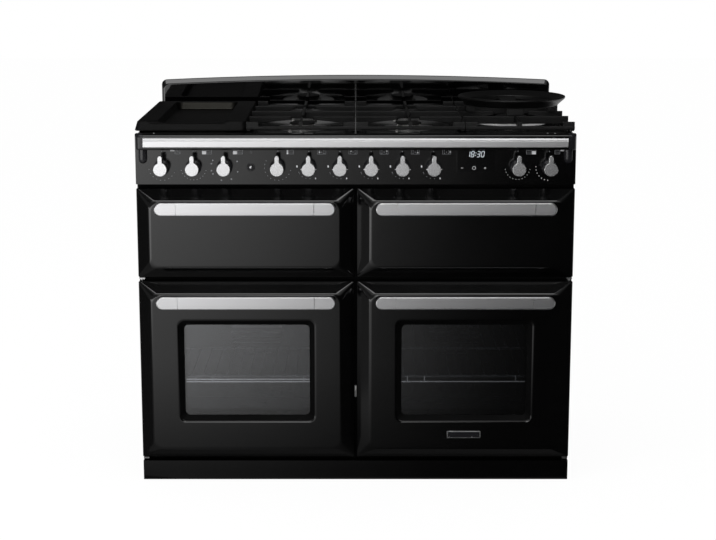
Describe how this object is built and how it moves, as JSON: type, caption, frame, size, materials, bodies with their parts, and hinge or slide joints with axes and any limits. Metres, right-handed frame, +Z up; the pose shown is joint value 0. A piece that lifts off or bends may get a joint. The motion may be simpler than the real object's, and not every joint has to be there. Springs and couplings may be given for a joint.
{
  "type": "dual fuel range cooker",
  "caption": "Free-standing dual fuel range cooker in black enamel: side-hinged glazed ovens, glide-out grill, proving drawer, lever knobs, clock, gas hob with griddle and wok ring.",
  "frame": {"origin": "on the floor, under the middle of the cooker's width and depth", "axes": "+X to the right seen from the front, +Y from the control panel to the back, +Z up"},
  "size_m": [1.102, 0.669, 0.99],
  "materials": {
    "black_enamel": "gloss vitreous enamel",
    "dark_liner": "speckled vitreous enamel",
    "galvanised": "galvanised sheet",
    "chrome": "bright chrome",
    "satin_chrome": "satin chrome",
    "steel": "bright drawn wire and pressed steel",
    "cast_iron": "matt black enamelled casting",
    "griddle_coat": "satin non-stick coating",
    "burner_alloy": "satin",
    "cap_enamel": "matt black enamel",
    "brass": "machined",
    "switch_plastic": "moulded",
    "black_plastic": "moulded gloss",
    "foot_plastic": "moulded",
    "door_glass": "toughened and tinted",
    "seal_fibre": "woven fibre",
    "element_sheath": "oxidised sheath",
    "display_glass": "black display window"
  },
  "bodies": {
    "cabinet": {"chassis_base": "galvanised", "levelling_feet": "foot_plastic", "plinth": "black_enamel", "side_panels": "black_enamel", "back_panel": "galvanised", "front_frame": "black_enamel", "oven_liners": "dark_liner", "upper_liners": "dark_liner", "shelf_supports": "steel", "oven_shelves": "steel", "fan_covers": "dark_liner", "fan_motors": "galvanised", "heating_elements": "element_sheath", "door_seals": "seal_fibre", "door_hinges": "steel", "drawer_runners": "steel", "hob_tray": "black_enamel", "upstand": "black_enamel", "control_panel": "black_enamel", "front_rail": "black_enamel", "rail_strip": "chrome", "clock_display": "display_glass", "gas_taps": "brass", "oven_controls": "switch_plastic", "gas_rail": "steel", "burner_bases": "burner_alloy", "burner_caps": "cap_enamel"},
    "light_button": {"light_button": "black_plastic"},
    "knob_1": {"knob_1": "satin_chrome"},
    "knob_2": {"knob_2": "satin_chrome"},
    "knob_3": {"knob_3": "satin_chrome"},
    "knob_4": {"knob_4": "satin_chrome"},
    "knob_5": {"knob_5": "satin_chrome"},
    "knob_6": {"knob_6": "satin_chrome"},
    "knob_7": {"knob_7": "satin_chrome"},
    "knob_8": {"knob_8": "satin_chrome"},
    "knob_9": {"knob_9": "satin_chrome"},
    "knob_10": {"knob_10": "satin_chrome"},
    "knob_11": {"knob_11": "satin_chrome"},
    "fan_left": {"fan_left": "steel"},
    "fan_right": {"fan_right": "steel"},
    "griddle_plate": {"griddle_plate": "griddle_coat"},
    "pan_support_left": {"pan_support_left": "cast_iron"},
    "pan_support_centre": {"pan_support_centre": "cast_iron"},
    "pan_support_right": {"pan_support_right": "cast_iron"},
    "wok_ring": {"wok_ring": "cast_iron"},
    "door_left": {"door_left_panel": "black_enamel", "door_left_liner": "dark_liner", "door_left_glass": "door_glass", "door_left_handle": "chrome"},
    "door_right": {"door_right_panel": "black_enamel", "door_right_liner": "dark_liner", "door_right_glass": "door_glass", "door_right_handle": "chrome"},
    "grill_drawer": {"grill_front": "black_enamel", "grill_handle": "chrome", "grill_carriage": "steel"},
    "proving_drawer": {"proving_front": "black_enamel", "proving_handle": "chrome", "proving_box": "steel"}
  },
  "joints": [
    {"name": "door_left_hinge", "type": "hinge", "parent": "cabinet", "child": "door_left", "pos_m": [-0.538, -0.2505, 0.2935], "axis": [0, 0, -1], "range_deg": [0, 100]},
    {"name": "door_right_hinge", "type": "hinge", "parent": "cabinet", "child": "door_right", "pos_m": [0.538, -0.2505, 0.2935], "axis": [0, 0, 1], "range_deg": [0, 100]},
    {"name": "grill_slide", "type": "slide", "parent": "cabinet", "child": "grill_drawer", "axis": [0, -1, 0], "range_m": [0, 0.33]},
    {"name": "proving_slide", "type": "slide", "parent": "cabinet", "child": "proving_drawer", "axis": [0, -1, 0], "range_m": [0, 0.35]},
    {"name": "knob_1_turn", "type": "hinge", "parent": "cabinet", "child": "knob_1", "pos_m": [-0.48003, -0.2655, 0.813], "axis": [0, 1, 0], "range_deg": [0, 270]},
    {"name": "knob_2_turn", "type": "hinge", "parent": "cabinet", "child": "knob_2", "pos_m": [-0.40196, -0.2655, 0.813], "axis": [0, 1, 0], "range_deg": [0, 270]},
    {"name": "knob_3_turn", "type": "hinge", "parent": "cabinet", "child": "knob_3", "pos_m": [-0.32466, -0.2655, 0.813], "axis": [0, 1, 0], "continuous": true},
    {"name": "knob_4_turn", "type": "hinge", "parent": "cabinet", "child": "knob_4", "pos_m": [-0.19325, -0.2655, 0.813], "axis": [0, 1, 0], "range_deg": [0, 270]},
    {"name": "knob_5_turn", "type": "hinge", "parent": "cabinet", "child": "knob_5", "pos_m": [-0.11595, -0.2655, 0.813], "axis": [0, -1, 0], "range_deg": [0, 215]},
    {"name": "knob_6_turn", "type": "hinge", "parent": "cabinet", "child": "knob_6", "pos_m": [-0.03865, -0.2655, 0.813], "axis": [0, -1, 0], "range_deg": [0, 215]},
    {"name": "knob_7_turn", "type": "hinge", "parent": "cabinet", "child": "knob_7", "pos_m": [0.03865, -0.2655, 0.813], "axis": [0, -1, 0], "range_deg": [0, 215]},
    {"name": "knob_8_turn", "type": "hinge", "parent": "cabinet", "child": "knob_8", "pos_m": [0.11595, -0.2655, 0.813], "axis": [0, -1, 0], "range_deg": [0, 215]},
    {"name": "knob_9_turn", "type": "hinge", "parent": "cabinet", "child": "knob_9", "pos_m": [0.19325, -0.2655, 0.813], "axis": [0, -1, 0], "range_deg": [0, 215]},
    {"name": "knob_10_turn", "type": "hinge", "parent": "cabinet", "child": "knob_10", "pos_m": [0.40196, -0.2655, 0.813], "axis": [0, 1, 0], "range_deg": [0, 270]},
    {"name": "knob_11_turn", "type": "hinge", "parent": "cabinet", "child": "knob_11", "pos_m": [0.48003, -0.2655, 0.813], "axis": [0, 1, 0], "range_deg": [0, 210]},
    {"name": "light_button_push", "type": "slide", "parent": "cabinet", "child": "light_button", "axis": [0, 1, 0], "range_m": [0, 0.003], "stiffness_N_per_m": 200, "springref_m": -0.003},
    {"name": "fan_left_spin", "type": "hinge", "parent": "cabinet", "child": "fan_left", "pos_m": [-0.27425, 0.1845, 0.2935], "axis": [0, 1, 0], "continuous": true},
    {"name": "fan_right_spin", "type": "hinge", "parent": "cabinet", "child": "fan_right", "pos_m": [0.27425, 0.1845, 0.2935], "axis": [0, 1, 0], "continuous": true},
    {"name": "griddle_lift", "type": "slide", "parent": "cabinet", "child": "griddle_plate", "axis": [0, 0, 1], "range_m": [0, 0.08]},
    {"name": "pan_support_left_lift", "type": "slide", "parent": "cabinet", "child": "pan_support_left", "axis": [0, 0, 1], "range_m": [0, 0.08]},
    {"name": "pan_support_centre_lift", "type": "slide", "parent": "cabinet", "child": "pan_support_centre", "axis": [0, 0, 1], "range_m": [0, 0.03]},
    {"name": "pan_support_right_lift", "type": "slide", "parent": "cabinet", "child": "pan_support_right", "axis": [0, 0, 1], "range_m": [0, 0.08]},
    {"name": "wok_ring_lift", "type": "slide", "parent": "pan_support_right", "child": "wok_ring", "axis": [0, 0, 1], "range_m": [0, 0.06]}
  ]
}
